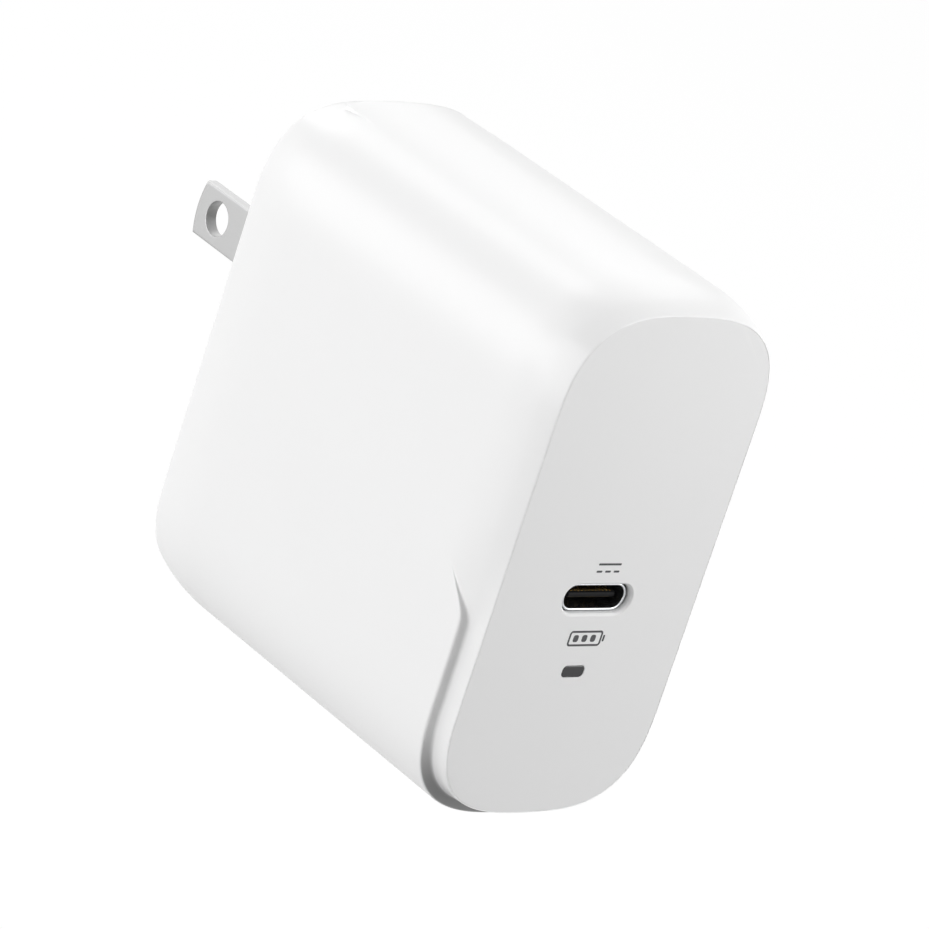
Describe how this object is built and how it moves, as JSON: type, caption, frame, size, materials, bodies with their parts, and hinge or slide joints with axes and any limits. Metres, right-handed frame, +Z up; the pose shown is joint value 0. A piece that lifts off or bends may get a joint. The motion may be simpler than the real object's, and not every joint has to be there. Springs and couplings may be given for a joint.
{
  "type": "laptop power adapter",
  "caption": "Compact white wall-plug laptop power adapter with rounded ends, one charge port in a grey front panel and a folding two-blade plug.",
  "frame": {"origin": "in the rear face that meets the outlet, midway between the two blades and at their mid-height", "axes": "+Z up along the body's height; +Y out of the rear, along the unfolded blades towards the wall; -Y is the front panel; +X across the thickness"},
  "size_m": [0.0314, 0.0722, 0.0611],
  "materials": {
    "white_shell": "satin",
    "grey_panel": "satin",
    "white_insert": "satin",
    "plated_shell": "satin",
    "black_moulding": "satin",
    "gold_contact": "polished",
    "smoked_window": "polished",
    "light_body": "satin",
    "nickel_blade": "satin",
    "spring_steel": "satin",
    "spring_bronze": "satin",
    "blue_wire": "satin",
    "brown_wire": "satin",
    "circuit_board": "satin",
    "zinc_screw": "satin",
    "component_black": "matte",
    "component_blue": "satin",
    "component_yellow": "satin",
    "ferrite": "matte",
    "copper_wire": "satin",
    "capacitor_sleeve": "satin",
    "yellow_tape": "satin",
    "component_white": "satin",
    "tin_parts": "satin",
    "thermal_pad": "matte",
    "aluminium_sheet": "satin",
    "amber_film": "satin",
    "fuse_glass": "polished"
  },
  "bodies": {
    "body": {"housing": "white_shell", "front_panel": "grey_panel", "port_shell": "plated_shell", "port_tongue": "black_moulding", "port_contacts": "gold_contact", "indicator_window": "smoked_window", "status_light": "light_body", "blade_bay": "white_insert", "detent_spring": "spring_steel", "contact_spring_left": "spring_bronze", "contact_spring_right": "spring_bronze", "neutral_lead": "blue_wire", "live_lead": "brown_wire", "main_board": "circuit_board", "output_board": "circuit_board", "board_screws": "zinc_screw", "fuse": "fuse_glass", "varistor": "component_blue", "x_capacitor": "component_yellow", "y_capacitor": "component_blue", "choke_core": "ferrite", "choke_winding_left": "copper_wire", "choke_winding_right": "copper_wire", "bridge_rectifier": "component_black", "bulk_capacitor_1": "capacitor_sleeve", "bulk_capacitor_2": "capacitor_sleeve", "transformer_core_lower": "ferrite", "transformer_core_upper": "ferrite", "transformer_bobbin": "component_black", "transformer_winding": "yellow_tape", "switch_transistor": "component_black", "sync_rectifier": "component_black", "controller_chip": "component_black", "optocoupler": "component_white", "chip_parts": "tin_parts", "output_capacitor_1": "capacitor_sleeve", "output_capacitor_2": "capacitor_sleeve", "thermal_pad_left": "thermal_pad", "thermal_pad_right": "thermal_pad", "heat_spreader_left": "aluminium_sheet", "heat_spreader_right": "aluminium_sheet", "insulating_sheet_left": "amber_film", "insulating_sheet_right": "amber_film"},
    "plug": {"blade_left": "nickel_blade", "blade_right": "nickel_blade", "blade_carrier": "white_insert"}
  },
  "joints": [
    {"name": "blade_fold", "type": "hinge", "parent": "body", "child": "plug", "pos_m": [0, -0.0036, 0], "axis": [-1, 0, 0], "range_deg": [0, 90]}
  ]
}
